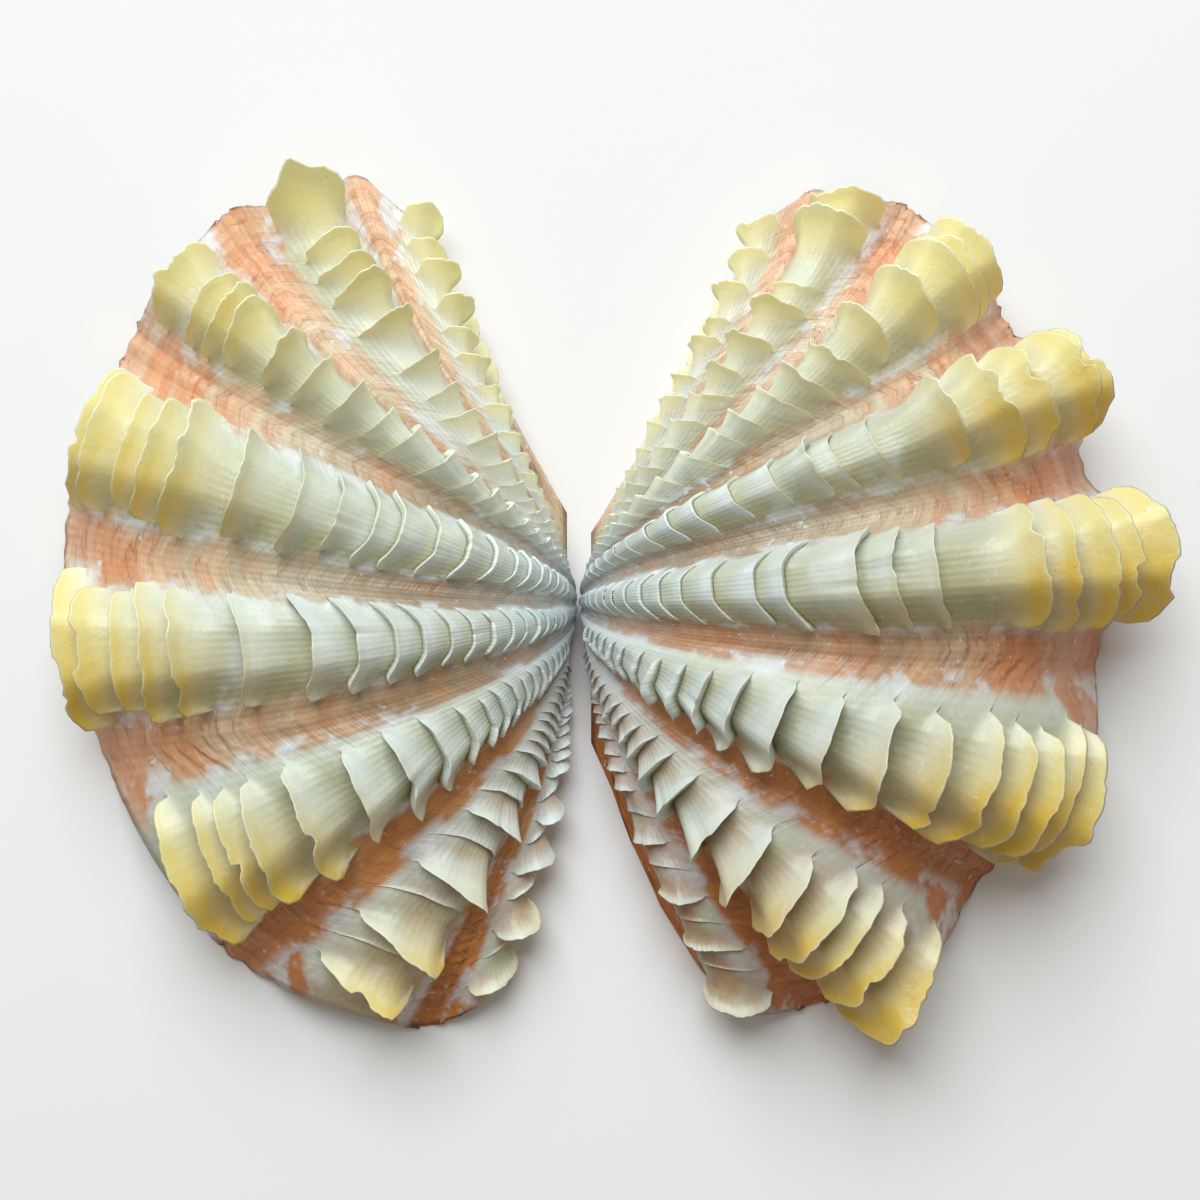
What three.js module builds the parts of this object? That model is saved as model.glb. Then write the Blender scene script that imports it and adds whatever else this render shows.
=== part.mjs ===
// A fluted giant clam shell laid open: two valves lying outer side up, with their beaks meeting in the middle.
// Each valve is one solid that grew in one piece, ribs and scutes included.
// Millimetres, +Z up; +X runs from the left valve to the right one and the hinge line runs along Y.
import * as THREE from "three";

// Each valve is described in its own frame: x is the reach away from the hinge line, y runs along it.
// outline: the shell's edge as [x, y, drift], first and last on the hinge line and one point at each valley
// between two ribs; drift bends the ribs sideways halfway through their growth.
// growth: how fast a growth line shrinks as it turns about the hinge line, towards the beak.
// ribs: the height of each rib at the edge, and its scutes as [size of the growth line, height].
const leftValve = {
  name: "left_valve",
  side: -1,
  hinge: [-9.4, -1.5],
  growth: [0.75, 0.38],
  tongue: 0.07,
  tilt: 0.09,
  roof: 36,
  hollowCentre: [60, 0],
  outline: [
    [0, 26, 0], [28, 72, 3], [42, 96, 6], [56, 111, 9], [91, 101, 8], [116, 69, 2], [133, 18, 4],
    [124, -40, 5], [88, -95, 5], [38, -114, 8], [20, -92, 6], [0, -34, 0],
  ],
  ribs: [
    { height: 4, scutes: [[0.94, 4], [0.84, 4], [0.74, 4], [0.64, 3], [0.54, 3], [0.43, 2], [0.33, 2]] },
    { height: 6, scutes: [[0.96, 9], [0.88, 9], [0.8, 8], [0.7, 6], [0.6, 5], [0.5, 4], [0.38, 2]] },
    { height: 9, scutes: [[0.95, 18], [0.86, 12], [0.78, 11], [0.69, 11], [0.6, 7], [0.5, 5], [0.38, 3]] },
    { height: 11, scutes: [[0.92, 13], [0.85, 13], [0.78, 13], [0.7, 12], [0.61, 9], [0.51, 6], [0.4, 4]] },
    { height: 8, scutes: [[0.93, 12], [0.86, 13], [0.78, 13], [0.69, 12], [0.6, 9], [0.5, 6], [0.38, 4]] },
    { height: 7, scutes: [[0.92, 12], [0.85, 13], [0.77, 13], [0.68, 11], [0.59, 8], [0.49, 6], [0.38, 4]] },
    { height: 8, scutes: [[0.87, 13], [0.81, 12], [0.74, 13], [0.66, 12], [0.56, 9], [0.46, 6], [0.36, 4]] },
    { height: 8, scutes: [[0.88, 14], [0.76, 14], [0.6, 14], [0.46, 8], [0.38, 5], [0.32, 4], [0.26, 3]] },
    { height: 5, scutes: [[0.88, 5], [0.76, 6], [0.64, 5], [0.53, 5], [0.44, 4], [0.36, 3], [0.29, 2]] },
  ],
};
const rightValve = {
  name: "right_valve",
  side: 1,
  hinge: [-2.6, -1.5],
  growth: [0.55, 0.5],
  tongue: 0.06,
  tilt: 0.1,
  roof: 42,
  hollowCentre: [60, 0],
  outline: [
    [0, 20, 0], [34, 72, 5], [48, 97, 8], [60, 108, 10], [86, 103, 9], [112, 74, 1], [132, 36, 0],
    [137, -13, 4], [106, -73, 4], [61, -108, 4], [30, -100, 5], [0, -40, 0],
  ],
  ribs: [
    { height: 4, scutes: [[0.94, 3], [0.84, 3], [0.74, 3], [0.64, 3], [0.54, 3], [0.43, 2], [0.33, 2]] },
    { height: 6, scutes: [[0.94, 8], [0.85, 7], [0.76, 6], [0.67, 6], [0.57, 5], [0.47, 4], [0.36, 3]] },
    { height: 9, scutes: [[0.95, 13], [0.86, 14], [0.75, 8], [0.66, 9], [0.56, 6], [0.46, 5], [0.35, 3]] },
    { height: 12, scutes: [[0.95, 16], [0.88, 16], [0.8, 17], [0.69, 14], [0.58, 9], [0.48, 6], [0.37, 4]] },
    { height: 15, scutes: [[0.95, 17], [0.87, 16], [0.79, 16], [0.7, 15], [0.58, 8], [0.48, 6], [0.37, 4]] },
    { height: 15, scutes: [[0.94, 17], [0.86, 16], [0.78, 13], [0.69, 9], [0.58, 8], [0.47, 6], [0.36, 4]] },
    { height: 14, scutes: [[0.94, 16], [0.86, 16], [0.77, 15], [0.67, 14], [0.56, 10], [0.45, 7], [0.34, 4]] },
    { height: 13, scutes: [[0.96, 19], [0.87, 18], [0.77, 16], [0.67, 14], [0.56, 13], [0.45, 9], [0.34, 5]] },
    { height: 8, scutes: [[0.9, 6], [0.8, 4], [0.7, 4], [0.6, 3], [0.5, 3], [0.4, 2], [0.32, 2]] },
  ],
};

const crestPower = 1.44; // how the rib's height falls from its crest to the valley
const ribColumns = [-0.5, -0.36, -0.22, -0.07, 0.07, 0.22, 0.36]; // across a rib; the valleys are at -0.5 and 0.5
const scuteAcross = [0, 0.35, 0.85, 1, 1, 0.85, 0.35]; // a scute's share of its height at those columns
const endColumns = 3; // between a hinge end and the first valley
const scuteLean = 0.5; // radians that a scute leans towards the edge
const scuteFoot = 0.45; // share of the way to the next scute that its sloping back takes up
const beakSizes = [0.22, 0.15, 0.09, 0.05]; // growth lines past the last scute, on the way to the beak
const lipShare = 0.035; // how far in the edge's flat lip reaches, as a share of the way to the hollow's middle
const hollowRings = [0.08, 0.2, 0.38, 0.58, 0.8]; // rings inside the hollow, from the lip to its top
const fluteFade = 6; // how fast the edge's waves die out inside the hollow
const hingePlateDepth = 14; // of the flat plate under the beak
const hingePlateStops = [-0.7, -0.35, 0, 0.35, 0.7]; // along the plate's front edge, as shares of the hinge ends
const step = 1e-3; // for the slopes of the surface

const smooth = (x) => THREE.MathUtils.smoothstep(x, 0, 1);
const ribCount = (valve) => valve.ribs.length;

// The outline at s, by a Catmull-Rom curve through its points; s counts the points from 0.
function outlineAt(valve, s) {
  const points = valve.outline;
  const i = Math.min(Math.max(Math.floor(s), 0), points.length - 2);
  const at = (k, c) => {
    if (k < 0) return 2 * points[0][c] - points[1][c];
    if (k >= points.length) return 2 * points[k - 1][c] - points[k - 2][c];
    return points[k][c];
  };
  const f = s - i;
  return [0, 1, 2].map((c) => {
    const [p, q, r, t] = [at(i - 1, c), at(i, c), at(i + 1, c), at(i + 2, c)];
    return 0.5 * (2 * q + (r - p) * f + (2 * p - 5 * q + 4 * r - t) * f * f + (3 * q - p - 3 * r + t) * f * f * f);
  });
}

// The angle that a growth line of this size has turned about the hinge line.
function turnOf(valve, size) {
  const [first, second] = valve.growth;
  const fall = -Math.log(size);
  return Math.sign(fall) * (-first + Math.sqrt(first * first + 4 * second * Math.abs(fall))) / (2 * second);
}

// The plain shell without ribs: the outline scaled by size and turned about the hinge line.
function shellPoint(valve, s, size) {
  const [reach, along, drift] = outlineAt(valve, s);
  const turn = turnOf(valve, size);
  const x = reach * size * Math.cos(turn);
  const y = along * size - 4 * drift * size * (1 - size);
  return new THREE.Vector3(x, y, reach * size * Math.sin(turn) + valve.tilt * x);
}

// The directions at a point of the plain shell: out of it, and along its growth towards the edge.
function directionsAt(valve, s, size) {
  const growing = shellPoint(valve, s, size * (1 + step)).sub(shellPoint(valve, s, size * (1 - step)));
  const around = shellPoint(valve, s + step, size).sub(shellPoint(valve, s - step, size));
  return { out: around.clone().cross(growing).normalize(), on: growing.normalize() };
}

const acrossRib = (s) => s - Math.floor(s) - 0.5;
const onRibs = (valve, s) => s > 1 && s < ribCount(valve) + 1;
const ribShape = (valve, s) =>
  onRibs(valve, s) ? Math.abs(Math.cos(Math.PI * acrossRib(s))) ** crestPower : 0;

// The rows of one rib from the edge to the beak, as [size, height of the scute].
function rowsOf(rib) {
  const rows = [[1, 0]];
  rib.scutes.forEach(([size, height], k) => {
    const next = k + 1 < rib.scutes.length ? rib.scutes[k + 1][0] : beakSizes[0];
    rows.push([size, 0], [size, height], [size - scuteFoot * (size - next), 0]);
  });
  return [...rows, ...beakSizes.map((size) => [size, 0])];
}

// Where each row of the mesh runs at s: the rib's own sizes, blended with the next rib's in the valley.
function sizesAt(valve, rows, s) {
  const last = ribCount(valve) - 1;
  const i = Math.min(Math.max(Math.floor(s) - 1, 0), last);
  if (!onRibs(valve, s)) return rows[i].map(([size]) => size);
  const u = acrossRib(s);
  const other = Math.min(Math.max(i + Math.sign(u), 0), last);
  const share = 0.5 * smooth((Math.abs(u) - 0.25) / 0.25);
  return rows[i].map(([size], r) => size + share * (rows[other][r][0] - size));
}

// A point of the outer side: the shell, raised by its rib, with the scute standing on it.
function outerPoint(valve, s, size, ribHeight, scute) {
  const ends = Math.min(s, ribCount(valve) + 2 - s, 1);
  const bulged = size * Math.exp(valve.tongue * (1 - ribShape(valve, s)) * Math.max(ends, 0));
  const { out, on } = directionsAt(valve, s, bulged);
  const point = shellPoint(valve, s, bulged);
  point.addScaledVector(out, ribHeight * bulged * ribShape(valve, s) + scute * Math.cos(scuteLean));
  point.addScaledVector(on, scute * Math.sin(scuteLean));
  point.z = Math.max(point.z, 0);
  return point;
}

// The columns of the mesh as s values, with the scute's share of its height at each.
function columnsOf(valve) {
  const columns = [];
  for (let k = 0; k < endColumns; k++) columns.push([k / endColumns, 0]);
  for (let i = 0; i < ribCount(valve); i++)
    ribColumns.forEach((u, k) => columns.push([i + 1.5 + u, scuteAcross[k]]));
  for (let k = 0; k <= endColumns; k++) columns.push([ribCount(valve) + 1 + k / endColumns, 0]);
  return columns;
}

function makeValve(valve, colour) {
  const rows = valve.ribs.map(rowsOf);
  const columns = columnsOf(valve);
  const points = [];
  const faces = [];
  const add = (point) => points.push(point) - 1;

  // The outer side, a grid from the edge to the beak, closed by the beak's tip.
  const outer = columns.map(([s, share]) => {
    const i = Math.min(Math.max(Math.floor(s) - 1, 0), ribCount(valve) - 1);
    const height = valve.ribs[i].height;
    return sizesAt(valve, rows, s).map((size, r) => add(outerPoint(valve, s, size, height, share * rows[i][r][1])));
  });
  const tip = add(new THREE.Vector3());
  for (let c = 0; c + 1 < outer.length; c++) {
    const [here, next] = [outer[c], outer[c + 1]];
    for (let r = 0; r + 1 < here.length; r++)
      faces.push([here[r], here[r + 1], next[r]], [next[r], here[r + 1], next[r + 1]]);
    faces.push([here.at(-1), tip, next.at(-1)]);
  }

  // The lip inside the edge, and the front edge of the hinge plate: the rim of the hollow.
  const top = new THREE.Vector3(...valve.hollowCentre, 0);
  const rim = outer.map((column) => {
    const point = points[column[0]].clone();
    const height = point.z;
    point.setZ(0).lerp(top, lipShare).setZ(height);
    return add(point);
  });
  const [firstEnd, lastEnd] = [valve.outline[0][1], valve.outline.at(-1)[1]];
  const plateFront = hingePlateStops.map((share) =>
    add(new THREE.Vector3(hingePlateDepth, share < 0 ? -share * lastEnd : share * firstEnd, 0)));
  for (let c = 0; c + 1 < rim.length; c++)
    faces.push([outer[c][0], outer[c + 1][0], rim[c]], [outer[c + 1][0], rim[c + 1], rim[c]]);

  // The hinge plate, between the hinge line and that front edge.
  const hingeLine = [...outer.at(-1), tip, ...[...outer[0]].reverse()];
  const front = [rim.at(-1), ...plateFront, rim[0]];
  const middleY = (path, k) => (points[path[k]].y + points[path[k + 1]].y) / 2;
  for (let a = 0, b = 0; a + 1 < hingeLine.length || b + 1 < front.length; ) {
    const alongLine = b + 1 === front.length || (a + 1 < hingeLine.length && middleY(hingeLine, a) < middleY(front, b));
    if (alongLine) faces.push([hingeLine[a], hingeLine[++a], front[b]]);
    else faces.push([hingeLine[a], front[b + 1], front[b++]]);
  }

  // The hollow: rings that shrink towards its top, as a shallow dome.
  const loop = [...rim, ...plateFront];
  let ring = loop;
  for (const share of hollowRings) {
    const inner = loop.map((index) => {
      const point = points[index].clone();
      const edge = point.z;
      const rise = 1 - (1 - share) ** 2;
      return add(point.setZ(0).lerp(top, share).setZ(edge * (1 - share) ** fluteFade + valve.roof * rise));
    });
    for (let k = 0; k < loop.length; k++) {
      const n = (k + 1) % loop.length;
      faces.push([ring[k], ring[n], inner[k]], [ring[n], inner[n], inner[k]]);
    }
    ring = inner;
  }
  const crown = add(new THREE.Vector3(top.x, top.y, valve.roof));
  ring.forEach((index, k) => faces.push([index, ring[(k + 1) % ring.length], crown]));

  const geometry = new THREE.BufferGeometry().setFromPoints(points);
  geometry.setIndex(faces.flatMap(([p, q, r]) => (valve.side > 0 ? [p, q, r] : [p, r, q])));
  geometry.scale(valve.side, 1, 1);
  geometry.computeVertexNormals();
  const material = new THREE.MeshStandardMaterial({ color: colour, roughness: 0.55, metalness: 0, flatShading: true });
  const mesh = new THREE.Mesh(geometry, material);
  mesh.name = valve.name;
  mesh.position.set(...valve.hinge, 0);
  return mesh;
}

const shell = new THREE.Group();
shell.add(makeValve(leftValve, 0xe6dcae), makeValve(rightValve, 0xe4d9a6));

// The origin is under the middle of the pair, on the surface that it lies on.
const middle = new THREE.Box3().setFromObject(shell).getCenter(new THREE.Vector3());
for (const valve of shell.children) valve.position.add(new THREE.Vector3(-middle.x, -middle.y, 0));

export default shell;
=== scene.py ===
import math

import bpy
import numpy as np
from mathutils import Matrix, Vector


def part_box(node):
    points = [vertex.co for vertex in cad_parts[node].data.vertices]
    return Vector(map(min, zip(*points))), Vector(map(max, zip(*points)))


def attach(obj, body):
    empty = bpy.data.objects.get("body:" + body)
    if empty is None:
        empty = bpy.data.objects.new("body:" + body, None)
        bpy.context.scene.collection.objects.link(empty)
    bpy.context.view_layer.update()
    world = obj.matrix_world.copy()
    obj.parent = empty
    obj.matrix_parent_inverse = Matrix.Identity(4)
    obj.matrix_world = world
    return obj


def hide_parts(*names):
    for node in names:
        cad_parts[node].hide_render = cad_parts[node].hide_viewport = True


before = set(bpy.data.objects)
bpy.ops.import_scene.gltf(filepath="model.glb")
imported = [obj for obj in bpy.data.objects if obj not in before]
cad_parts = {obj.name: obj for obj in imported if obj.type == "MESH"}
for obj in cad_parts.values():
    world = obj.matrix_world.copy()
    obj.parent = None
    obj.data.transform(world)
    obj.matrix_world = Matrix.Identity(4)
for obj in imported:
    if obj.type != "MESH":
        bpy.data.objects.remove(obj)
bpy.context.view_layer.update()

mm = 0.001
print("frame loaded")

# Both valves share one way of growing: an outline that shrinks towards the beak while it turns about the
# hinge line. Millimetres, in each valve's own frame: x is the reach away from the hinge, y runs along it.
growing = {
    "ribHalf": 0.46,           # half of a rib's width, of the 1 from valley to valley
    "flankWidth": 0.36,
    "beakEnd": 0.02,           # smallest growth line before the tip
    "lastScute": 0.13,         # the scutes nearest the beak stand on this growth line
    "slots": 20,               # scutes on each rib
    "fineSlots": 11,           # how many of them, from the edge, have the full number of rows
    "edgeRows": 6,             # between the edge and the outermost scutes
    "tailRows": 7,             # between the innermost scutes and the tip
    "ribColumns": 46,
    "endColumns": 10,
    "lean": (0.66, 0.20),      # how far scutes lean towards the edge, at the edge and at the beak
    "bow": 0.09,               # how far growth lines hang back on a crest, near the beak
    "flare": 0.45,             # how far a scute's corners spread sideways as they rise
    "cornerWidth": 0.05,       # how much of the rib's width a scute's side takes to come down
    "rimThickness": 0.5,
    "rootThickness": 2.0,
    "swellSize": 0.74,         # scutes on smaller growth lines swell up over the whole way between two rims
    "lipShare": 0.035,
    "hollowRings": 11,
    "hingePlateDepth": 14,
    "hingePlateColumns": 24,
    "seed": 7,
}

# The outline's points are (reach, along, drift), at whole values of s, which runs around the edge. A rib lies
# between two of them. It gives its height at the edge, and its scutes as (size of the growth line, height)
# with a peak and a skew of their own where they differ; more scutes fill in towards the beak. across: half of
# their width. skew: where across the rib they are highest. corners: how high their two ends stand. peak:
# 0 broad, 1 pointed. yellow: how strongly they are tinted. peach and stains tint the shell; the last list is
# painted shade, growing along s away from the light. One value for each whole s.
leftShell = {
    "name": "left_valve", "side": -1, "growth": (0.75, 0.38), "tongue": 0.07, "tilt": 0.09, "roof": 36,
    "hollowCentre": (60, 0),
    "outline": [(0, 26, 0), (28, 72, 3), (42, 96, 6), (56, 111, 9), (91, 101, 8), (116, 69, 2),
                (133, 18, 4), (124, -40, 5), (88, -95, 5), (38, -114, 8), (20, -92, 6), (0, -34, 0)],
    "ribs": [
        {"height": 4, "across": (0.25, 0.27), "skew": 0.0, "corners": (0.1, 0.1), "peak": 0.3, "yellow": 0.9,
         "scutes": [(.95, 4), (.88, 5), (.81, 5), (.74, 5), (.68, 4), (.62, 4), (.56, 3)]},
        {"height": 6, "across": (0.30, 0.28), "skew": 0.0, "corners": (0.1, 0.1), "peak": 0.25, "yellow": 1.3,
         "scutes": [(.95, 10), (.895, 8, .4, .08), (.84, 10, .1, -.06), (.765, 9), (.71, 6, .6, .08),
                    (.65, 7, .2, -.08), (.595, 5), (.54, 5, .6, .06)]},
        {"height": 8, "across": (0.22, 0.25), "skew": -0.10, "corners": (0.02, 0.02), "peak": 0.8,
         "yellow": 1,
         "scutes": [(.94, 21, .3, -.04), (.87, 11, .4), (.825, 12, .7), (.775, 13), (.71, 14), (.63, 9),
                    (.57, 8), (.52, 6)]},
        {"height": 11, "across": (0.32, 0.34), "skew": -0.10, "corners": (0.12, 0.06), "peak": 0.5,
         "yellow": 1,
         "scutes": [(.92, 15), (.86, 13), (.82, 12), (.78, 14), (.72, 13), (.67, 9), (.61, 9), (.56, 7),
                    (.51, 6)]},
        {"height": 8, "across": (0.36, 0.36), "skew": -0.04, "corners": (0.4, 0.08), "peak": 0.1, "yellow": 1,
         "scutes": [(.94, 12), (.90, 14), (.85, 13), (.80, 14), (.75, 14), (.67, 12), (.60, 8), (.55, 7),
                    (.50, 6), (.46, 5)]},
        {"height": 7, "across": (0.35, 0.37), "skew": 0.05, "corners": (0.15, 0.2), "peak": 0.0, "yellow": 1,
         "scutes": [(.93, 13), (.89, 13), (.84, 12), (.79, 13), (.74, 13), (.66, 8), (.57, 7), (.51, 6),
                    (.455, 5), (.415, 4)]},
        {"height": 8, "across": (0.26, 0.42), "skew": 0.18, "corners": (0.05, 0.45), "peak": 0.3, "yellow": 1,
         "scutes": [(.88, 15), (.82, 12), (.78, 12), (.73, 14), (.66, 15), (.575, 12), (.50, 9), (.44, 7),
                    (.385, 5), (.345, 4)]},
        {"height": 8, "across": (0.32, 0.30), "skew": 0.16, "corners": (0.08, 0.04), "peak": 0.95,
         "yellow": 0.8,
         "scutes": [(.86, 14), (.80, 2), (.73, 16), (.66, 2), (.59, 16), (.52, 2), (.46, 11), (.41, 3),
                    (.365, 7), (.32, 4)]},
        {"height": 7, "across": (0.32, 0.34), "skew": 0.0, "corners": (0.2, 0.1), "peak": 0.2, "yellow": 0.5,
         "scutes": [(.88, 6), (.80, 1), (.72, 8, .5), (.64, 2), (.56, 7, .6, .1), (.50, 2), (.44, 6),
                    (.39, 2), (.34, 4)]},
    ],
    "peach": [1.0, 1.0, 1.0, 0.9, 0.4, 0.0, 0.0, 0.0, 0.0, 0.0, 0.0, 0.0],
    "stains": [0.1, 0.3, 0.35, 0.45, 0.5, 0.4, 0.35, 0.5, 0.95, 1.04, 1.2, 1.2],
    # painted shade: how much darker the shell is painted at each whole s, more away from the light
    "dull": [0.0, 0.0, 0.0, 0.0, 0.1, 0.3, 0.5, 0.7, 0.6, 0.6, 0.7, 0.7],
}
rightShell = {
    "name": "right_valve", "side": 1, "growth": (0.55, 0.5), "tongue": 0.06, "tilt": 0.1, "roof": 42,
    "hollowCentre": (60, 0),
    "outline": [(0, 20, 0), (34, 72, 5), (48, 97, 8), (60, 108, 10), (86, 103, 9), (112, 74, 1), (132, 36, 0),
                (137, -13, 4), (106, -73, 4), (61, -108, 4), (30, -100, 5), (0, -40, 0)],
    "ribs": [
        {"height": 4, "across": (0.24, 0.24), "skew": 0.0, "corners": (0.1, 0.1), "peak": 0.3, "yellow": 0.9,
         "scutes": [(.94, 4), (.87, 4), (.80, 4), (.73, 4), (.67, 4), (.61, 4), (.55, 3)]},
        {"height": 6, "across": (0.27, 0.27), "skew": 0.0, "corners": (0.06, 0.06), "peak": 0.4,
         "yellow": 1.2,
         "scutes": [(.94, 8, .1), (.88, 8, .5, .08), (.81, 9, .2, -.08), (.75, 6, .7, .06), (.70, 7),
                    (.63, 6, .6, -.08), (.58, 5), (.52, 5, .6, .06)]},
        {"height": 9, "across": (0.31, 0.31), "skew": 0.0, "corners": (0.12, 0.12), "peak": 0.5, "yellow": 1,
         "scutes": [(.94, 12, .1), (.88, 15, .1), (.80, 4), (.74, 10, .8), (.67, 9), (.615, 8, .7),
                    (.565, 6), (.51, 5)]},
        {"height": 12, "across": (0.33, 0.36), "skew": -0.06, "corners": (0.2, 0.15), "peak": 0.3,
         "yellow": 1,
         "scutes": [(.94, 13), (.91, 13), (.88, 14), (.81, 16), (.74, 14), (.69, 8), (.64, 8), (.59, 6),
                    (.54, 6), (.50, 5)]},
        {"height": 15, "across": (0.36, 0.36), "skew": 0.0, "corners": (0.10, 0.14), "peak": 0.0, "yellow": 1,
         "scutes": [(.95, 15), (.92, 16), (.885, 8), (.85, 16), (.79, 16), (.73, 16), (.66, 4), (.61, 3),
                    (.57, 8), (.52, 3)]},
        {"height": 15, "across": (0.36, 0.38), "skew": 0.04, "corners": (0.10, 0.2), "peak": 0.0, "yellow": 1,
         "scutes": [(.95, 17), (.91, 16), (.87, 15), (.83, 12), (.775, 15), (.68, 7), (.63, 7), (.585, 8),
                    (.50, 4), (.46, 3)]},
        {"height": 14, "across": (0.24, 0.42), "skew": 0.18, "corners": (0.08, 0.5), "peak": 0.2,
         "yellow": 0.85,
         "scutes": [(.95, 14), (.915, 14), (.875, 15), (.835, 14), (.79, 15), (.72, 16), (.655, 15),
                    (.59, 11), (.52, 10), (.455, 9)]},
        {"height": 13, "across": (0.26, 0.42), "skew": 0.17, "corners": (0.1, 0.35), "peak": 0.7,
         "yellow": 0.8,
         "scutes": [(.94, 19), (.87, 18), (.81, 16), (.755, 16), (.69, 16), (.61, 16), (.535, 14),
                    (.46, 11), (.40, 7), (.355, 5)]},
        {"height": 8, "across": (0.32, 0.32), "skew": 0.0, "corners": (0.15, 0.15), "peak": 0.4,
         "yellow": 0.2,
         "scutes": [(.93, 7), (.86, 1), (.79, 4, .6, .1), (.73, 1), (.66, 5, .8, -.1), (.595, 1),
                    (.53, 4, .6), (.47, 1), (.41, 3)]},
    ],
    "peach": [1.0, 1.0, 1.0, 0.8, 0.2, 0.0, 0.0, 0.0, 0.0, 0.0, 0.0, 0.0],
    "stains": [0.1, 0.25, 0.3, 0.35, 0.4, 0.4, 0.4, 0.65, 0.95, 1.10, 1.3, 1.3],
    # painted shade: how much darker the shell is painted at each whole s, more away from the light
    "dull": [0.0, 0.0, 0.0, 0.0, 0.0, 0.3, 0.7, 0.8, 0.8, 1.0, 1.2, 1.2],
}


def smooth(x):
    # smoothstep: 3x2 - 2x3 between 0 and 1
    x = np.clip(x, 0, 1)
    return x * x * (3 - 2 * x)


def mottle(x, y, seed):
    # random values between -1 and 1 on a square lattice, blended smoothly in between
    table = np.random.default_rng(seed).uniform(-1, 1, (61, 61))
    i, j = np.floor(x).astype(int), np.floor(y).astype(int)
    f, g = smooth(x - i), smooth(y - j)
    low = table[i % 61, j % 61] * (1 - f) + table[(i + 1) % 61, j % 61] * f
    high = table[i % 61, (j + 1) % 61] * (1 - f) + table[(i + 1) % 61, (j + 1) % 61] * f
    return low * (1 - g) + high * g


def outlineCurve(shell, s):
    # Catmull-Rom curve through the outline's points, which sit at whole values of s
    p = np.array(shell["outline"], float)
    p = np.vstack([2 * p[0] - p[1], p, 2 * p[-1] - p[-2]])
    i = np.clip(np.floor(s).astype(int), 0, len(p) - 4)
    f = (s - i)[..., None]
    a, b, c, d = p[i], p[i + 1], p[i + 2], p[i + 3]
    curve = 0.5 * (2 * b + (c - a) * f + (2 * a - 5 * b + 4 * c - d) * f**2 + (3 * b - a - 3 * c + d) * f**3)
    return np.moveaxis(curve, -1, 0)


def turnOf(shell, size):
    # angle t about the hinge line at which the growth line has shrunk to size: size = exp(-(k0 t + k1 t |t|))
    k0, k1 = shell["growth"]
    fall = -np.log(size)
    return np.sign(fall) * (np.sqrt(k0**2 + 4 * k1 * np.abs(fall)) - k0) / (2 * k1)


def plainShell(shell, s, size):
    # the outline at s, scaled by size, bent sideways by its drift and turned about the hinge line, then
    # tilted
    reach, along, drift = outlineCurve(shell, s)
    turn = turnOf(shell, size)
    x = reach * size * np.cos(turn)
    y = along * size - 4 * drift * size * (1 - size)
    return np.stack([x, y, reach * size * np.sin(turn) + shell["tilt"] * x], -1)


def unit(v):
    # v divided by its length
    return v / (np.linalg.norm(v, axis=-1, keepdims=True) + 1e-12)


def shellDirections(shell, s, size):
    # out of the shell, along its growth and around its outline, from small steps on the plain shell
    step = 1e-3
    on = plainShell(shell, s, size * (1 + step)) - plainShell(shell, s, size * (1 - step))
    around = plainShell(shell, s + step, size) - plainShell(shell, s - step, size)
    return unit(np.cross(around, on)), unit(on), unit(around)


def ribProfile(count, s):
    # across each rib: a rounded crest, 1 at its middle, and a smoothstep down to a flat valley; no ribs past
    # the outermost valleys
    u = np.abs(s - np.floor(s) - 0.5)
    rib = smooth((growing["ribHalf"] - u) / growing["flankWidth"]) * (1 - 0.6 * u**2)
    return np.where((s > 1) & (s < count + 1), rib, 0)


# A scute's rows, from its front foot over the rim and down its back to the next scute. front: (rise, ahead)
# with ahead a share of its thickness. back: how far up its foot, 1 at the rim. between: the way on to the
# next scute.
fineRows = {"front": [(0, 1.0), (0.45, 0.8), (0.86, 0.6), (1.0, 0.35)],
            "back": [0.985, 0.90, 0.75, 0.52, 0.26, 0.0], "between": [0.4, 0.75]}
coarseRows = {"front": [(0, 1.0), (1.0, 0.4)], "back": [0.97, 0.75, 0.35, 0.0], "between": [0.5]}


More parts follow.
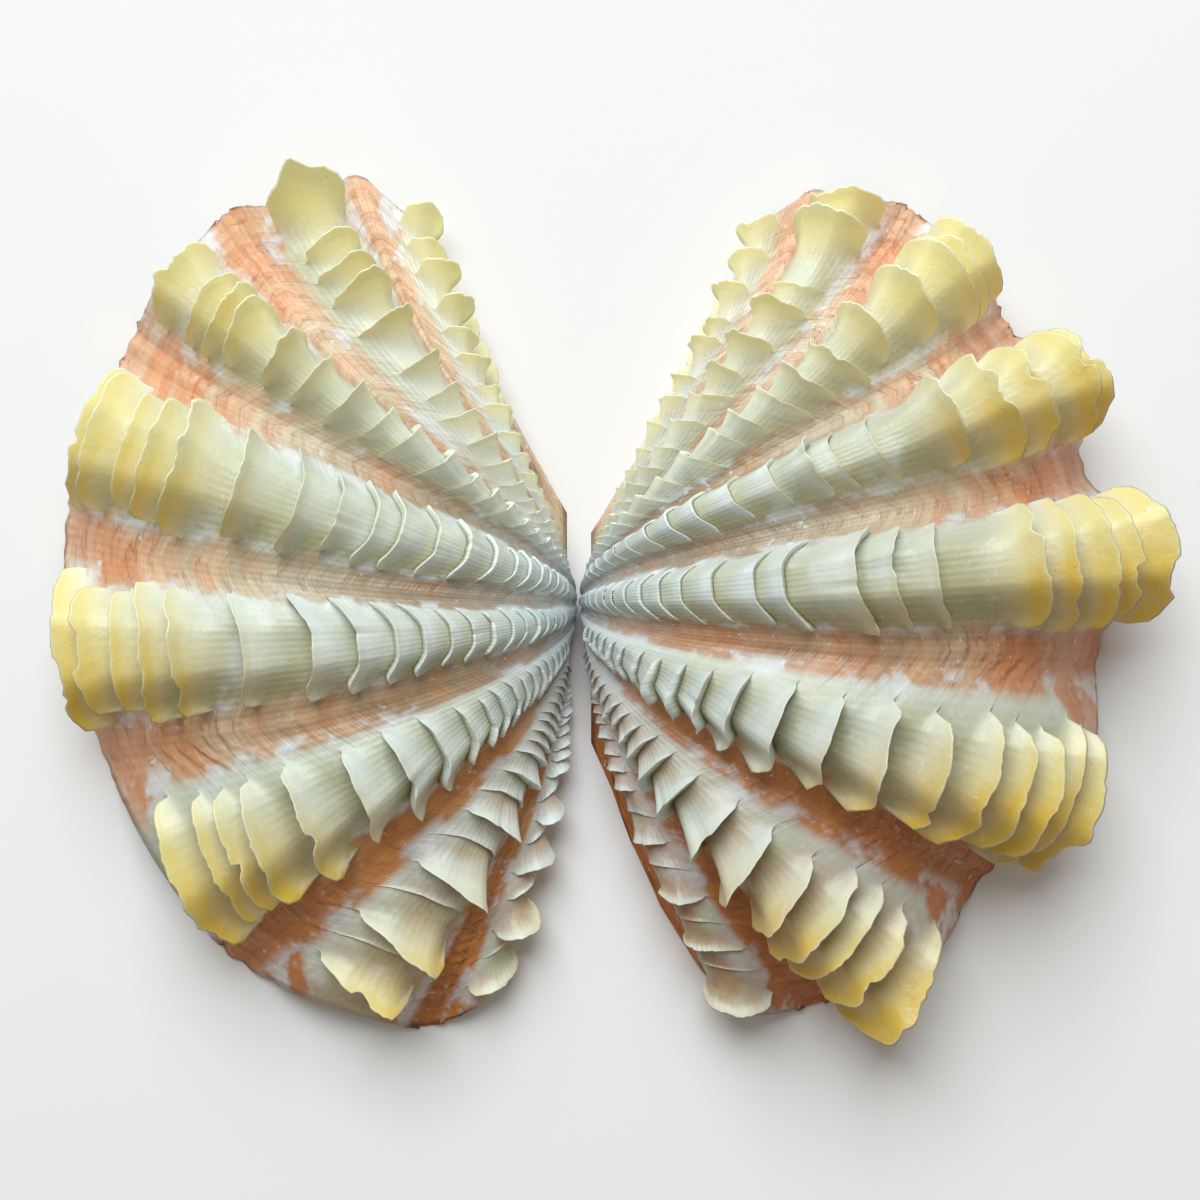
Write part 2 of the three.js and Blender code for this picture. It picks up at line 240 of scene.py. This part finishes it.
def ribRows(rib, rng):
    # every row of one rib as arrays: size, the same spread evenly, scute height, rise, ahead, slot, and how
    # near the row lies under the next scute. Past the given scutes, sizes shrink by one ratio and heights by
    # size to the power 1.5, both with a little chance.
    slots, last = growing["slots"], growing["lastScute"]
    scutes = [scute[:2] for scute in rib["scutes"]]
    innermost, tallness = scutes[-1]
    fill = slots - len(scutes)
    ratio = (last / innermost) ** (1 / fill)
    for k in range(fill):
        size = scutes[-1][0] * ratio * (rng.uniform(0.985, 1.015) if k < fill - 1 else 1)
        scutes.append((size, tallness * (size / innermost) ** 1.5 * rng.uniform(0.65, 1.2)))
    end = last * 0.9
    sizes = np.array([size for size, height in scutes] + [end])

    edge = np.linspace(1, sizes[0], growing["edgeRows"], endpoint=False)
    rows = [(size, size, 0, 0, 0, 0, 0) for size in edge]
    for k in range(slots):
        gap, height = sizes[k] - sizes[k + 1], scutes[k][1]
        swell = smooth((growing["swellSize"] - sizes[k]) / 0.2)
        foot = min(0.65 * gap, height / 100) * (1 - swell) + 0.92 * gap * swell
        steep = 2 - 0.9 * swell
        hollow = 2 - 0.8 * swell
        kind = fineRows if k < growing["fineSlots"] else coarseRows
        slot = [(sizes[k], height, rise, ahead, 1 - rise) for rise, ahead in kind["front"]]
        slot += [(sizes[k] - foot * (1 - way) ** hollow, height, way**steep, 0, 0) for way in kind["back"]]
        slot += [(sizes[k] - foot - way * (gap - foot), height, 0, 0, way**2) for way in kind["between"]]
        spread = sizes[k] - gap * np.arange(len(slot)) / len(slot)
        rows += [(size, even, height, rise, ahead, k, under)
                 for (size, height, rise, ahead, under), even in zip(slot, spread)]
    tail = end * (growing["beakEnd"] / end) ** np.linspace(0, 1, growing["tailRows"])
    rows += [(size, size, 0, 0, 0, slots - 1, 0) for size in tail]
    return np.array(rows, float).T


def shellColumns(count):
    # s of each column: even along the ends, closer together towards the scutes' corners on the ribs
    n = growing["ribColumns"]
    t = np.arange(n) / n - 0.5
    u = t + 0.02 * np.sin(2 * np.pi * t) - 0.018 * np.sin(4 * np.pi * t)
    ends = np.arange(growing["endColumns"]) / growing["endColumns"]
    ribs = (np.arange(count)[:, None] + 1.5 + u[None, :]).ravel()
    return np.concatenate([ends, ribs, count + 1 + ends, [count + 2.0]])


# Chance in a scute's outline. ragged and bites: (depth, waves across the rib, step to the next scute, seed).
scuteOutline = {
    "wide": (0.80, 1.08),
    "tall": (0.86, 1.10),
    "wander": 0.04,
    "corner": (0.7, 1.2),
    "ragged": [(0.06, 15, 3.7, 11), (0.04, 48, 5.1, 12)],
    "bites": (0.16, 9, 2.3, 13),
    "biteFrom": 0.35,
}


def scuteProfile(ribs, own, slot, U, rng):
    # a scute's height across its rib: 1 at its highest point, falling to its corners and then straight down
    # to the rib, with a ragged rim; also how far out sideways each point lies, from -1 to 1, and a random
    # number for each scute
    def each(low, high):
        return rng.uniform(low, high, (len(ribs), growing["slots"]))[own[:, None], slot]

    def given(key, part):
        return np.array([rib[key][part] for rib in ribs])[own][:, None]

    def special(key, part):
        # what a scute gives itself, or else what its rib gives
        rows = []
        for rib in ribs:
            row = [scute[part] if len(scute) > part else rib[key] for scute in rib["scutes"]]
            rows.append(row + [rib[key]] * (growing["slots"] - len(row)))
        return np.array(rows)[own[:, None], slot]

    def wavy(waves, step, seed):
        return mottle(U * waves + phase, slot * step, seed)

    shape = scuteOutline
    wide = each(*shape["wide"])
    pointed = special("peak", 2)
    centre = special("skew", 3) + each(-shape["wander"], shape["wander"])
    left = U < centre
    room = np.where(left, given("across", 0) * wide + centre, given("across", 1) * wide - centre)
    t = np.clip(np.abs(U - centre) / room, 0, 1)
    corner = np.where(left, given("corners", 0), given("corners", 1)) * each(*shape["corner"])
    crown = corner + (1 - corner) * (1 - t ** (2.4 - 1.2 * pointed)) ** (0.6 + 0.35 * pointed)
    side = smooth((1 - t) * room / growing["cornerWidth"])
    phase = each(0, 60)
    ragged = sum(depth * wavy(*waves) for depth, *waves in shape["ragged"])
    depth, *waves = shape["bites"]
    bite = depth * smooth((wavy(*waves) - shape["biteFrom"]) / 0.3)
    profile = crown * side * (1 + ragged - bite)
    return profile * each(*shape["tall"]), np.sign(U - centre) * t**2, phase


# Growth wrinkles, heights in millimetres.
wrinkles = {
    "ledges": 34,              # growth ledges between beak and edge
    "ledgeHeight": 0.8,
    "rippleHeight": 0.2,
    "foldHeight": 0.4,         # coarse folds near the edge
    "uneven": 0.5,             # slow unevenness all over
}


def growValve(shell):
    # the whole valve as points, faces and the values that its finish follows: every point of the plain shell
    # is moved out of it by the rib, the scute and the wrinkles, on along its growth by the scute's lean and
    # thickness, and sideways by its flare
    rng = np.random.default_rng(growing["seed"] + (shell["side"] > 0))
    ribs = shell["ribs"]
    count = len(ribs)
    tables = np.array([ribRows(rib, rng) for rib in ribs])          # rib, value, row
    s = shellColumns(count)
    own = np.clip(np.floor(s).astype(int) - 1, 0, count - 1)
    u = np.where((s > 1) & (s < count + 1), s - np.floor(s) - 0.5, np.where(s <= 1, -0.5, 0.5))

    # near a valley each rib's rows fade into even ones, halfway between the two ribs' own
    other = np.clip(own + np.sign(u).astype(int), 0, count - 1)
    share = 0.5 * smooth((np.abs(u) - 0.25) / 0.25)[:, None]
    even = smooth((np.abs(u) - 0.36) / 0.12)[:, None]
    mine = tables[own, 0] * (1 - even) + tables[own, 1] * even
    size = mine + share * (tables[other, 1] - mine)
    height, rise, ahead, slot, under = (tables[own, k] for k in range(2, 7))
    slot = slot.astype(int)
    S = np.repeat(s[:, None], size.shape[1], 1)
    U = np.repeat(u[:, None], size.shape[1], 1)

    ends = np.clip(np.minimum(S, count + 2 - S), 0, 1)
    ribbed = ribProfile(count, S)
    hang = shell["tongue"] * (1 - ribbed) + growing["bow"] * (1 - size) * 4 * U**2
    grown = size * np.exp(hang * ends)
    out, on, around = shellDirections(shell, S, grown)

    profile, sideways, phase = scuteProfile(ribs, own, slot, U, rng)
    tall = height * profile
    rise = np.where(ahead == 0, rise ** (1 + 2.5 * np.abs(sideways)), rise)
    up = tall * rise
    leanEdge, leanBeak = growing["lean"]
    lean = leanBeak + (leanEdge - leanBeak) * smooth((grown - 0.25) / 0.7)
    curl = (lean + 0.12 * mottle(phase, slot, 14)) * (1.15 - 0.35 * rise)
    root, rim = growing["rootThickness"], growing["rimThickness"]
    thick = (root + (rim - root) * rise) * np.clip(tall / 5, 0, 1) * smooth(grown * 3)
    ribHeight, yellow = (np.array([rib[key] for rib in ribs], float)[own][:, None]
                         for key in ("height", "yellow"))

    # growth wrinkles across the valleys, deepest at the edge, and slow unevenness all over
    valley = (1 - ribbed) ** 1.3 * smooth(ends * 2)
    ripple = np.cos(14 * np.pi * S + 2 * mottle(S * 2, size * 5, 19)) * (1 + mottle(S * 3, size * 9, 20))
    wave = size * wrinkles["ledges"] + 1.6 * mottle(S * 3, size * 7, 15) + 0.10 * ripple
    ledge = (wave - np.floor(wave)) ** 1.5 * (1 + mottle(S * 2, size * 11, 18))
    fold = wrinkles["ledgeHeight"] * smooth((size - 0.4) / 0.5) * ledge
    fold += wrinkles["rippleHeight"] * size * ripple
    fold += wrinkles["foldHeight"] * smooth((size - 0.6) / 0.35) * (1 + mottle(S * 1.8, size * 34, 16))
    uneven = wrinkles["uneven"] * mottle(S * 4, size * 16, 17) * smooth(size * 2.5) * (ends > 0.3)

    outwards = ribHeight * grown * ribbed + up * np.cos(curl) + fold * valley + uneven
    point = plainShell(shell, S, grown) + out * outwards[..., None]
    point = point + on * (up * np.sin(curl) + ahead * thick)[..., None]
    point = point + around * (growing["flare"] * up * rise * sideways)[..., None]
    point[..., 2] = np.maximum(point[..., 2], 0)

    # the outer side: a grid of points whose last column meets in the tip
    columns, rows = size.shape
    tip = columns * rows
    at = np.arange(columns * rows).reshape(columns, rows)
    a, b, c, d = at[:-1, :-1].ravel(), at[:-1, 1:].ravel(), at[1:, 1:].ravel(), at[1:, :-1].ravel()
    quads = [np.stack([a, b, c, d], 1)]
    tris = [np.stack([at[:-1, -1], np.full(columns - 1, tip), at[1:, -1]], 1)]
    points = [point.reshape(-1, 3), np.zeros((1, 3))]

    # the flat lip inside the edge and the front of the hinge plate make the rim of the hollow
    top = np.array([*shell["hollowCentre"], 0.0])
    edge = point[:, 0]
    lipEdge = edge.copy()
    lipEdge[:, :2] += growing["lipShare"] * (top[:2] - edge[:, :2])
    firstEnd, lastEnd = shell["outline"][0][1], shell["outline"][-1][1]
    plates = growing["hingePlateColumns"]
    stop = np.linspace(-0.7, 0.7, plates)
    plate = np.stack([np.full(plates, growing["hingePlateDepth"]),
                      np.where(stop < 0, -stop * lastEnd, stop * firstEnd), 0 * stop], 1)
    loop = np.vstack([lipEdge, plate])
    first = tip + 1
    lip = first + np.arange(columns)
    quads.append(np.stack([at[:-1, 0], at[1:, 0], lip[1:], lip[:-1]], 1))

    # the hollow: rings shrinking to its top, a shallow dome under the edge's fading waves
    inward = (np.arange(1, growing["hollowRings"]) / growing["hollowRings"])[:, None] ** 1.4
    n = len(loop)
    flat = loop * [1, 1, 0]
    rings = flat + inward[..., None] * (top - flat)
    shallow = np.clip(loop[:, 0] / 80, 0.3, 1) ** (1 - inward)
    rings[..., 2] = loop[:, 2] * (1 - inward) ** 8 + shell["roof"] * shallow * (1 - (1 - inward) ** 2)
    hollow = np.concatenate([loop[None], rings])
    ring = first + np.arange(hollow.shape[0] * n).reshape(-1, n)
    nextRing = np.roll(ring, -1, axis=1)
    a, b, c, d = ring[:-1].ravel(), nextRing[:-1].ravel(), nextRing[1:].ravel(), ring[1:].ravel()
    quads.append(np.stack([a, b, c, d], 1))
    crown = first + hollow.shape[0] * n
    tris.append(np.stack([ring[-1], nextRing[-1], np.full(n, crown)], 1))
    points += [hollow.reshape(-1, 3), np.array([[top[0], top[1], shell["roof"]]])]

    # the hinge plate: triangles between the hinge line and the plate's front edge, matched by their middles
    line = np.concatenate([at[-1], [tip], at[0][::-1]])
    front = np.concatenate([[lip[-1]], first + columns + np.arange(plates), [lip[0]]])
    everything = np.vstack(points)
    lineMid = (everything[line[:-1], 1] + everything[line[1:], 1]) / 2
    frontMid = (everything[front[:-1], 1] + everything[front[1:], 1]) / 2
    j = np.searchsorted(frontMid, lineMid)
    i = np.searchsorted(lineMid, frontMid, side="right")
    tris.append(np.stack([line[:-1], line[1:], front[j]], 1))
    tris.append(np.stack([line[i], front[1:], front[:-1]], 1))

    # values for the finish, one for each point of the outer side; the tip takes 0 and the inside its own
    stain, peach, dull = (np.interp(S, np.arange(count + 3), shell[key])
                          for key in ("stains", "peach", "dull"))
    layers = {                                                      # outer side, inside
        "ribbed": (ribbed, 0.0),
        "grown": (grown, 0.5),
        "stain": (stain, 0.2),
        "tall": (up / 14 * yellow, 0.0),
        "peach": (peach, 0.0),
        "dull": (dull, 0.0),
        "rise": (rise * np.clip(tall / 1.5, 0, 1), 0.0),
        "under": (under * np.clip(tall / 3, 0, 1), 0.0),
        "flank": (U * 2, 0.0),
        "inside": (0 * S, 1.0),
    }
    inside = len(everything) - columns * rows - 1
    values = {name: np.concatenate([grid.ravel(), [0.0], np.full(inside, rest)])
              for name, (grid, rest) in layers.items()}
    uv = np.concatenate([np.stack([S.ravel(), size.ravel()], 1), [[0, 0]], np.full((inside, 2), 0.5)])
    return everything, np.vstack(quads), np.vstack(tris), values, uv


def makeMesh(shell):
    # the grown valve as an object, mirrored for the left side
    points, quads, tris, values, uv = growValve(shell)
    points = points * [shell["side"], 1, 1]
    if shell["side"] < 0:
        quads, tris = quads[:, ::-1], tris[:, ::-1]
    # it lies where the frame's valve lies: beak against beak, and middle on middle along the hinge
    low, high = (np.array(corner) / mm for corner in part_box(shell["name"]))
    beak = high[0] - points[:, 0].max() if shell["side"] < 0 else low[0] - points[:, 0].min()
    middle = (low[1] + high[1]) / 2 - (points[:, 1].min() + points[:, 1].max()) / 2
    points = (points + [beak, middle, 0]) * mm

    mesh = bpy.data.meshes.new(shell["name"] + "_shell")
    mesh.vertices.add(len(points))
    mesh.vertices.foreach_set("co", points.astype(np.float32).ravel())
    corners = np.concatenate([quads.ravel(), tris.ravel()])
    mesh.loops.add(len(corners))
    mesh.loops.foreach_set("vertex_index", corners.astype(np.int32))
    starts = np.concatenate([np.arange(len(quads)) * 4, len(quads) * 4 + np.arange(len(tris)) * 3])
    mesh.polygons.add(len(starts))
    mesh.polygons.foreach_set("loop_start", starts.astype(np.int32))
    mesh.polygons.foreach_set("use_smooth", np.ones(len(starts), bool))
    mesh.update(calc_edges=True)
    mesh.validate()
    for name, value in values.items():
        mesh.attributes.new(name, "FLOAT", "POINT").data.foreach_set("value", value.astype(np.float32))
    mesh.uv_layers.new(name="growth").data.foreach_set("uv", uv[corners].astype(np.float32).ravel())
    valve = bpy.data.objects.new(shell["name"] + "_shell", mesh)
    bpy.context.collection.objects.link(valve)
    print(valve.name, len(points), "points", 2 * len(quads) + len(tris), "triangles")
    return valve


class Wire:
    # one output of a node tree, so that shader maths reads as Python
    def __init__(self, tree, socket=None):
        self.tree, self.socket = tree, socket

    def node(self, kind, settings=None, inputs=None, output=0):
        made = self.tree.nodes.new(kind)
        for key, value in (settings or {}).items():
            if key == "stops":
                while len(made.color_ramp.elements) < len(value):
                    made.color_ramp.elements.new(0.5)
                for element, (place, colour) in zip(made.color_ramp.elements, value):
                    element.position, element.color = place, (*colour, 1)
            else:
                setattr(made, key, value)
        for key, value in (inputs or {}).items():
            if isinstance(value, Wire):
                self.tree.links.new(value.socket, made.inputs[key])
            else:
                made.inputs[key].default_value = value
        return Wire(self.tree, made.outputs[output]) if len(made.outputs) else made

    def math(self, operation, *values, clamp=False):
        settings = {"operation": operation, "use_clamp": clamp}
        return self.node("ShaderNodeMath", settings, dict(enumerate(values)))

    def __add__(self, other):
        return self.math("ADD", self, other)

    def __radd__(self, other):
        return self.math("ADD", other, self)

    def __sub__(self, other):
        return self.math("SUBTRACT", self, other)

    def __rsub__(self, other):
        return self.math("SUBTRACT", other, self)

    def __mul__(self, other):
        return self.math("MULTIPLY", self, other)

    def __rmul__(self, other):
        return self.math("MULTIPLY", other, self)

    def sine(self):
        return self.math("SINE", self)

    def clamp(self):
        # kept between 0 and 1
        return self.math("ADD", self, 0, clamp=True)

    def between(self, low, high):
        # 0 below low, 1 above high and a smooth step in between
        return self.node("ShaderNodeMapRange", {"interpolation_type": "SMOOTHSTEP"},
                         {"Value": self, "From Min": low, "From Max": high})

    def noise(self, vector, scale, detail, roughness=0.55):
        return self.node("ShaderNodeTexNoise", None, {"Vector": vector, "Scale": scale, "Detail": detail,
                                                      "Roughness": roughness})

    def ramp(self, value, *stops):
        return self.node("ShaderNodeValToRGB", {"stops": stops}, {0: value})

    def blend(self, factor, first, second, mode="MIX"):
        first, second = ((*c, 1) if isinstance(c, tuple) else c for c in (first, second))
        return self.node("ShaderNodeMix", {"data_type": "RGBA", "blend_type": mode},
                         {0: factor, 6: first, 7: second}, output=2)


shellFinish = {
    # painted shade: the beak is coloured darker, standing for the shade over the middle of the shell
    "beak": (0.52, 0.57, 0.58),
    "cream": (0.72, 0.64, 0.46),
    # painted shade: the valleys are coloured darker towards the beak
    "creamInnerShade": (0.38, 0.31, 0.21),
    "coral": (0.80, 0.38, 0.19),
    "rust": (0.64, 0.29, 0.10),
    "rustEdge": (0.60, 0.21, 0.04),
    "line": (0.60, 0.42, 0.30),
    "rib": (0.69, 0.77, 0.78),
    "ribEdge": (0.64, 0.68, 0.52),
    "ribGapShade": (0.53, 0.51, 0.28),
    "olive": (0.42, 0.37, 0.17),
    "dull": (0.68, 0.67, 0.66),
    # painted shade: the colour multiplied over the ribs away from the light
    "crack": (0.40, 0.17, 0.09),
    "blush": (0.58, 0.27, 0.16),
    "peach": (0.84, 0.66, 0.46),
    "scute": (0.84, 0.89, 0.80),
    "scuteEdge": (0.97, 0.85, 0.36),
    "shadedYellow": (0.88, 0.60, 0.08),
    "paintedGlow": (1.0, 0.95, 0.52),
    "rim": (0.86, 0.88, 0.74),
    # white chalk flecks and lining, also the painted highlight on the ribs' upper flanks
    "chalkAndHighlight": (0.78, 0.86, 0.91),
    "litCrescent": (0.86, 0.93, 0.94),
    "paleYellow": (0.92, 0.87, 0.50),
    "speck": (0.22, 0.13, 0.06),
    "inside": (0.80, 0.77, 0.70),
    "coarse": (28, 2, 0.55),       # noises: scale, detail, roughness
    "cloud": (75, 3, 0.6),
    "fine": (420, 3, 0.65),
    "grain": (1500, 1, 0.6),
    "lines": (3, 230),             # noises drawn out around the shell: waves around, waves along
    "bands": (2, 42),
    "broad": (1, 12),
    "riblets": 23,                 # on each rib
    "roughness": 0.40,
    "bump": 0.5,
    "bumpDistance": 0.0008,
    "ior": 1.5,
}


def makeFinish(name, hue):
    # Masks follow the values on the points: ribbed, 1 on a crest; grown, the size of the growth line; tall
    # and rise, most at a scute's rim; under, 1 where the next scute overhangs; flank, -1 to 1 across a rib;
    # inside, 1 in the hollow; stain and peach from the shell's lists, and the painted shade from its last
    # list.
    f = shellFinish
    material = bpy.data.materials.new(name)
    material.use_nodes = True
    tree = material.node_tree
    tree.nodes.clear()
    w = Wire(tree)
    ribbed, grown, stain, tall, rise, under, flank, inside, peach, dull = (
        w.node("ShaderNodeAttribute", {"attribute_name": key}, output=2)
        for key in ("ribbed", "grown", "stain", "tall", "rise", "under", "flank", "inside", "peach", "dull"))
    place = w.node("ShaderNodeTexCoord", output=3)
    uv = w.node("ShaderNodeUVMap", {"uv_map": "growth"})
    around = w.node("ShaderNodeSeparateXYZ", None, {0: uv})
    along = w.node("ShaderNodeSeparateXYZ", None, {0: uv}, output=1)
    coarse, cloud, fine, grain = (w.noise(place, *f[key]) for key in ("coarse", "cloud", "fine", "grain"))

    def drawnOut(key, low, high):
        wavesAround, wavesAlong = f[key]
        stretched = w.node("ShaderNodeCombineXYZ", None, {0: around * wavesAround, 1: along * wavesAlong})
        return w.noise(stretched, 1, 1).between(low, high)

    # growth lines follow the edge; riblets run along the growth
    lines = drawnOut("lines", 0.36, 0.64)
    bands = drawnOut("bands", 0.36, 0.64)
    broad = drawnOut("broad", 0.38, 0.62)
    riblets = (around * (2 * math.pi * f["riblets"]) + cloud * 3).sine() * 0.5 + 0.5

    # the valleys: painted shade darker towards the beak, cream to coral towards the edge, rust at the ends,
    # with growth lines, cracks and chalk
    valley = w.ramp(grown, (0.04, f["beak"]), (0.40, f["creamInnerShade"]), (0.84, f["cream"]))
    warm = grown.between(0.62, 1.02) * 0.9 + (broad - 0.5) * 0.4 + (coarse - 0.5) * 0.8 + (bands - 0.5) * 0.25
    valley = w.blend((warm - ribbed * 0.8 + (stain - 0.4) * 0.8).clamp(), valley, f["coral"])
    valley = w.blend(peach * 0.65, valley, f["peach"])
    rust = w.ramp(grown, (0.1, f["beak"]), (0.35, f["rust"]), (0.98, f["rustEdge"]))
    valley = w.blend((stain * 1.5 - 0.5 + (coarse - 0.5) * 0.7).clamp(), valley, rust)
    valley = w.blend(bands * cloud * 0.45, valley, f["line"], "MULTIPLY")
    valley = w.blend(lines * cloud * 0.22, valley, f["line"], "MULTIPLY")
    valley = w.blend(riblets * cloud * 0.28, valley, f["line"], "MULTIPLY")
    crack = bands.between(0.72, 0.80) * (1 - bands.between(0.80, 0.90)) * grown.between(0.3, 0.7)
    valley = w.blend(crack * cloud.between(0.35, 0.55) * 0.7, valley, f["crack"])
    valley = w.blend(cloud.between(0.46, 0.60) * ribbed.between(0.02, 0.22) * 0.6, valley, f["chalkAndHighlight"])
    valley = w.blend(fine.between(0.60, 0.68) * cloud.between(0.50, 0.62) * 0.6, valley, f["chalkAndHighlight"])

    # the ribs: bluish white, darker at the beak as painted shade; olive painted shade between the scutes and
    # on the lower flank; whiter up their backs and upper flank, as painted highlight
    rib = w.ramp(grown, (0.03, f["beak"]), (0.22, f["rib"]), (0.6, f["rib"]), (0.95, f["ribEdge"]))
    # painted shade: olive in the gaps between the scutes and low on each back, more away from the light
    between = (1 - rise * 1.6).clamp() * (1 - peach) * grown.between(0.10, 0.45) * (0.7 + dull * 0.3)
    rib = w.blend(between.clamp(), rib, f["ribGapShade"])
    # painted shade: olive under each overhang and on the lower flank, with random patches, less up the backs
    shade = under * 0.9 + flank.between(-0.3, 0.9) * 0.8 + (cloud - 0.5) * 0.9 - rise * 0.9 - peach * 0.6
    rib = w.blend(shade.clamp() * grown.between(0.12, 0.40) * 0.85, rib, f["olive"])
    rib = w.blend(peach * (cloud * 1.6 - 0.45).clamp(), rib, f["peach"])
    rib = w.blend(((stain - 0.87) * 4).clamp() * cloud.between(0.34, 0.54) * 0.8, rib, f["blush"])
    rib = w.blend(riblets * cloud * (0.3 * (1 - rise)).clamp() * grown.between(0.1, 0.5), rib, f["olive"])
    rib = w.blend(cloud.between(0.50, 0.72) * 0.5, rib, f["chalkAndHighlight"])
    # painted highlight: bluish white on the upper flank, the side facing the light
    rib = w.blend((0 - flank).between(0.05, 0.8) * (1 - peach) * 0.55, rib, f["chalkAndHighlight"])
    # whiter scute backs: partly their pale shell, partly painted highlight
    rib = w.blend(rise.between(0.40, 0.85) * 0.95, rib, f["litCrescent"])
    # pale yellow blotches up the scutes' backs: partly their own tint, partly a painted glow through them
    rib = w.blend(rise * cloud.between(0.40, 0.62) * grown.between(0.15, 0.4) * 0.45, rib, f["paleYellow"])

    # both together, then the scutes' yellow, deeper where shade is painted, a painted glow through them,
    # and their pale rims
    edge = grown.between(0.92, 0.97) * (0.5 - rise)
    skin = w.blend((ribbed + rise * 1.5 + (cloud - 0.5) * 0.35 - edge).between(0.22, 0.55), valley, rib)
    # painted shade: deeper yellow on the lower flank, under overhangs and away from the light, with patches
    yellowShade = (cloud * 0.7 + flank * 0.7 + under * 0.3).between(0.10, 0.75) * (0.35 + dull)
    yellow = w.blend(yellowShade.clamp(), f["scuteEdge"], f["shadedYellow"])
    # whiter towards the upper flank: partly painted highlight
    yellow = w.blend((grown + peach * 0.25 + flank * 0.15).between(0.48, 0.86), f["scute"], yellow)
    skin = w.blend((tall * 1.2 + rise * 0.3 + (cloud - 0.5) * 0.5 * rise).clamp(), skin, yellow)
    # painted glow: bright yellow up the scutes' backs, as light shining through them, none where shaded
    skin = w.blend(rise.between(0.1, 0.8) * (0.5 - dull).clamp(), skin, f["paintedGlow"])
    skin = w.blend(rise.between(0.93, 1.0) * 0.45, skin, f["rim"])
    # painted shade: the ribs away from the light are darkened, most on their crests
    skin = w.blend(dull * (0.15 + ribbed * 0.65), skin, f["dull"], "MULTIPLY")
    skin = w.blend(fine.between(0.60, 0.72) * 0.25, skin, f["chalkAndHighlight"])
    skin = w.blend(grain.between(0.73, 0.78) * cloud.between(0.45, 0.6) * (0.7 * grown), skin, f["speck"])
    lining = w.blend(coarse * 0.5, f["inside"], f["chalkAndHighlight"])
    skin = w.blend(inside, skin, lining)
    colour = w.node("ShaderNodeHueSaturation", None, {"Hue": 0.5 + hue, "Color": skin})

    relief = (lines * 0.14 + bands * 0.5) * (1.1 - ribbed) + fine * 0.30 + grain * 0.12
    relief = relief + riblets * 0.13 * (1 - tall * 1.5).clamp()
    bump = w.node("ShaderNodeBump", None, {
        "Strength": f["bump"], "Distance": f["bumpDistance"], "Height": relief})
    rough = f["roughness"] + (fine - 0.5) * 0.3 - tall * 0.12
    surface = w.node("ShaderNodeBsdfPrincipled", None, {
        "Base Color": colour, "Roughness": rough.clamp(), "Normal": bump, "IOR": f["ior"]})
    w.node("ShaderNodeOutputMaterial", None, {"Surface": surface})
    return material


for shell, slot, hue in ((leftShell, "left_shell", 0.0), (rightShell, "right_shell", -0.004)):
    valve = makeMesh(shell)
    valve.data.materials.append(makeFinish(shell["name"] + "_finish", hue))
    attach(valve, "root")
    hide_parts(shell["name"])
print("valves grown")

# The stage: a pale floor, a broad cool light over the top of the view and a dim warm sky. Metres and watts.
stage = {
    "size": 6.0,
    "floor": (0.90, 0.87, 0.86),
    "floorDark": (0.88, 0.85, 0.84),
    "floorRoughness": 0.9,
    "patchScale": 3,
    "key": 91.0,
    "keySize": 2.4,
    "keyPlace": (-0.35, 1.75, 1.98),
    "keyTarget": (0, 0, 0.02),
    "keyColour": (0.88, 0.96, 1.0),
    "sky": (1.0, 0.94, 0.84),
    "skyStrength": 0.26,
}
camera = {"lens": 63, "sensor": 36, "height": 0.600, "fromBeaks": (0.0062, 0.0005)}


def makeFloor():
    half = stage["size"] / 2
    corners = [(-half, -half, 0), (half, -half, 0), (half, half, 0), (-half, half, 0)]
    mesh = bpy.data.meshes.new("floor")
    mesh.from_pydata(corners, [], [(0, 1, 2, 3)])
    floor = bpy.data.objects.new("floor", mesh)
    bpy.context.collection.objects.link(floor)
    material = bpy.data.materials.new("floor")
    material.use_nodes = True
    w = Wire(material.node_tree)
    shader = material.node_tree.nodes["Principled BSDF"]
    patches = w.noise(w.node("ShaderNodeTexCoord", output=3), stage["patchScale"], 2)
    paint = w.blend(patches, stage["floor"], stage["floorDark"])
    w.tree.links.new(paint.socket, shader.inputs["Base Color"])
    shader.inputs["Roughness"].default_value = stage["floorRoughness"]
    mesh.materials.append(material)


def makeKey():
    # a round lamp turned so that it faces its target
    light = bpy.data.lights.new("key", "AREA")
    light.shape = "DISK"
    light.size = stage["keySize"]
    light.energy = stage["key"]
    light.color = stage["keyColour"]
    lamp = bpy.data.objects.new("key", light)
    lamp.location = stage["keyPlace"]
    aim = np.array(stage["keyTarget"]) - np.array(stage["keyPlace"])
    nod = math.acos(-aim[2] / np.linalg.norm(aim))
    lamp.rotation_euler = (nod, 0, math.atan2(aim[1], aim[0]) - math.pi / 2)
    bpy.context.collection.objects.link(lamp)


def makeSky():
    world = bpy.data.worlds.new("studio")
    bpy.context.scene.world = world
    world.use_nodes = True
    background = world.node_tree.nodes["Background"]
    background.inputs["Color"].default_value = (*stage["sky"], 1)
    background.inputs["Strength"].default_value = stage["skyStrength"]


def makeCamera():
    # straight down, a little off the point where the beaks meet
    leftBox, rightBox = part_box("left_valve"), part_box("right_valve")
    beaks = ((leftBox[1][0] + rightBox[0][0]) / 2, (leftBox[0][1] + leftBox[1][1]) / 2)
    lensData = bpy.data.cameras.new("camera")
    lensData.lens, lensData.sensor_width = camera["lens"], camera["sensor"]
    eye = bpy.data.objects.new("camera", lensData)
    offX, offY = camera["fromBeaks"]
    eye.location = (beaks[0] + offX, beaks[1] + offY, camera["height"])
    bpy.context.collection.objects.link(eye)
    bpy.context.scene.camera = eye


makeFloor()
makeKey()
makeSky()
makeCamera()
bpy.context.scene.view_settings.view_transform = "Standard"
print("stage set")
